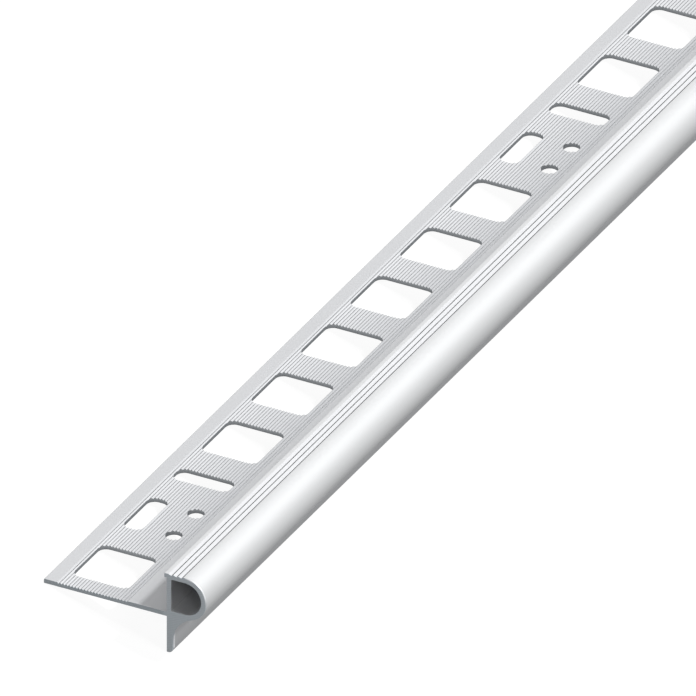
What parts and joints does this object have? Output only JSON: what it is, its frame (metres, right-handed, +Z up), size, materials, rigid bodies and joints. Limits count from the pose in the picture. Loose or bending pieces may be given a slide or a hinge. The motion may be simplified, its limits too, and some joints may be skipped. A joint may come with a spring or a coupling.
{
  "type": "stair nosing",
  "caption": "Round-nose aluminium stair edging for tiles: punched fine-grooved tile leg, lip, hollow nose with grip grooves and a short lower leg.",
  "frame": {"origin": "middle of the bar's box at floor level, with the bar lying on the outer edge of its tile leg and the tip of its lower leg", "axes": "+Y along the bar away from the end where the punched pattern starts, +Z up, +X from the punched leg towards the round nose"},
  "size_m": [0.0382, 1, 0.021],
  "materials": {
    "aluminium": "satin"
  },
  "bodies": {
    "root": {"nosing": "aluminium"}
  },
  "joints": []
}
